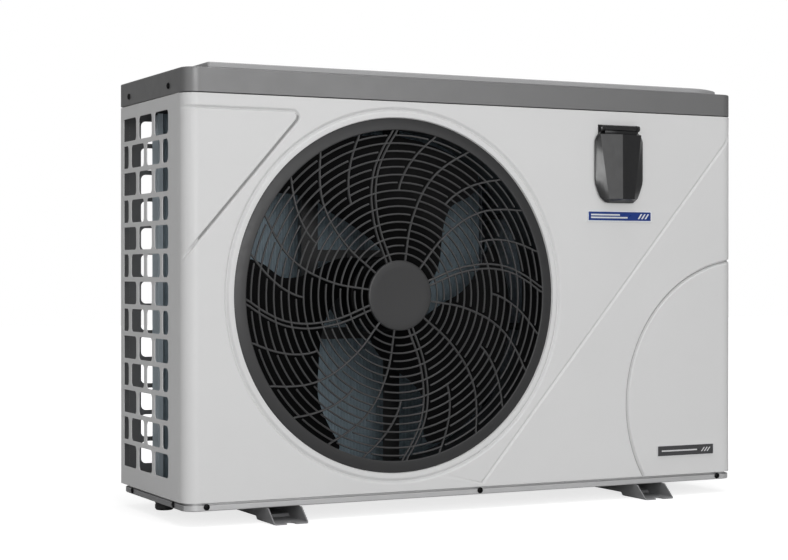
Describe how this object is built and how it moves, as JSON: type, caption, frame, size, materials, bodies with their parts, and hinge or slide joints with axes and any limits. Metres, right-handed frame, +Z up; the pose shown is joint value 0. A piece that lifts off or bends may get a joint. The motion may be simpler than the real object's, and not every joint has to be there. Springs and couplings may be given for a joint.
{
  "type": "pool heat pump",
  "caption": "Box-shaped inverter heat pump with a round fan grille, side air openings, flip-up controller flap, water unions and two foot rails.",
  "frame": {"origin": "middle of the footprint at the level of the foot rails' undersides", "axes": "+X to the right seen from the front, towards the water connections; +Y to the back; +Z up; the fan grille faces -Y"},
  "size_m": [1.0184, 0.3518, 0.6604],
  "materials": {
    "casing_grey": "satin",
    "band_grey": "satin",
    "lid_grey": "satin",
    "pan_grey": "satin",
    "rail_grey": "satin",
    "grille_grey": "satin",
    "fan_black": "satin",
    "black_metal": "satin",
    "cast_black": "satin",
    "controller_black": "gloss",
    "coil_blue": "satin",
    "zinc": "satin",
    "steel": "polished",
    "copper": "polished",
    "brass": "satin",
    "pvc_grey": "satin",
    "rubber": "matte",
    "titanium": "satin",
    "board_green": "satin",
    "display_glass": "gloss",
    "button_grey": "satin",
    "badge_blue": "gloss",
    "badge_dark": "satin",
    "screw_black": "satin"
  },
  "bodies": {
    "casing": {"base_pan": "pan_grey", "foot_rail_left": "rail_grey", "foot_rail_right": "rail_grey", "drain_spout": "fan_black", "front_panel": "casing_grey", "left_side_panel": "casing_grey", "right_side_panel": "casing_grey", "rear_panel": "casing_grey", "top_trim": "band_grey", "top_lid": "lid_grey", "fan_grille": "grille_grey", "fan_orifice": "fan_black", "fan_motor": "black_metal", "motor_bracket": "black_metal", "evaporator_coil": "coil_blue", "coil_end_plate_left": "zinc", "coil_end_plate_right": "zinc", "partition_plate": "zinc", "compressor": "cast_black", "compressor_grommet_1": "rubber", "compressor_grommet_2": "rubber", "compressor_grommet_3": "rubber", "accumulator": "black_metal", "four_way_valve": "brass", "discharge_pipe": "copper", "suction_pipe": "copper", "hot_gas_pipe": "copper", "coil_gas_pipe": "copper", "liquid_line": "copper", "heat_exchanger_shell": "pvc_grey", "titanium_coil": "titanium", "inlet_union_seal": "rubber", "outlet_union_seal": "rubber", "electric_box": "zinc", "electric_box_cover": "zinc", "control_board": "board_green", "cable_gland": "fan_black", "controller_housing": "controller_black", "controller_display": "display_glass", "flap_hinge_pin": "steel", "badge_upper": "badge_blue", "badge_lower": "badge_dark", "trim_screw_left_front": "screw_black", "trim_screw_left_rear": "screw_black", "base_screw_front_left": "screw_black", "base_screw_front_middle": "screw_black", "base_screw_front_right": "screw_black", "base_screw_side_front": "screw_black", "base_screw_side_rear": "screw_black"},
    "fan": {"fan_rotor": "fan_black", "fan_nut": "zinc", "motor_shaft": "steel"},
    "flap": {"controller_flap": "controller_black"},
    "button_1": {"controller_button_1": "button_grey"},
    "button_2": {"controller_button_2": "button_grey"},
    "button_3": {"controller_button_3": "button_grey"},
    "inlet_tailpiece": {"water_inlet_tailpiece": "pvc_grey"},
    "inlet_nut": {"inlet_union_nut": "pvc_grey"},
    "outlet_tailpiece": {"water_outlet_tailpiece": "pvc_grey"},
    "outlet_nut": {"outlet_union_nut": "pvc_grey"}
  },
  "joints": [
    {"name": "fan_spin", "type": "hinge", "parent": "casing", "child": "fan", "pos_m": [-0.16675, -0.0759, 0.3265], "axis": [0, 1, 0], "continuous": true},
    {"name": "flap_hinge", "type": "hinge", "parent": "casing", "child": "flap", "pos_m": [0.21975, -0.1526, 0.589], "axis": [-1, 0, 0], "range_deg": [0, 110]},
    {"name": "button_1_press", "type": "slide", "parent": "casing", "child": "button_1", "axis": [0, 1, 0], "range_m": [0, 0.0012], "stiffness_N_per_m": 500, "springref_m": -0.0006},
    {"name": "button_2_press", "type": "slide", "parent": "casing", "child": "button_2", "axis": [0, 1, 0], "range_m": [0, 0.0012], "stiffness_N_per_m": 500, "springref_m": -0.0006},
    {"name": "button_3_press", "type": "slide", "parent": "casing", "child": "button_3", "axis": [0, 1, 0], "range_m": [0, 0.0012], "stiffness_N_per_m": 500, "springref_m": -0.0006},
    {"name": "inlet_tailpiece_slide", "type": "slide", "parent": "casing", "child": "inlet_tailpiece", "axis": [1, 0, 0], "range_m": [0, 0.012]},
    {"name": "inlet_nut_turn", "type": "hinge", "parent": "inlet_tailpiece", "child": "inlet_nut", "pos_m": [0.46125, 0.0591, 0.128], "axis": [1, 0, 0], "range_deg": [0, 1080]},
    {"name": "outlet_tailpiece_slide", "type": "slide", "parent": "casing", "child": "outlet_tailpiece", "axis": [1, 0, 0], "range_m": [0, 0.012]},
    {"name": "outlet_nut_turn", "type": "hinge", "parent": "outlet_tailpiece", "child": "outlet_nut", "pos_m": [0.46125, 0.0591, 0.363], "axis": [1, 0, 0], "range_deg": [0, 1080]}
  ],
  "couplings": [
    {"joint": "inlet_tailpiece_slide", "follows": "inlet_nut_turn", "m_per_rad": 0.0006366},
    {"joint": "outlet_tailpiece_slide", "follows": "outlet_nut_turn", "m_per_rad": 0.0006366}
  ]
}
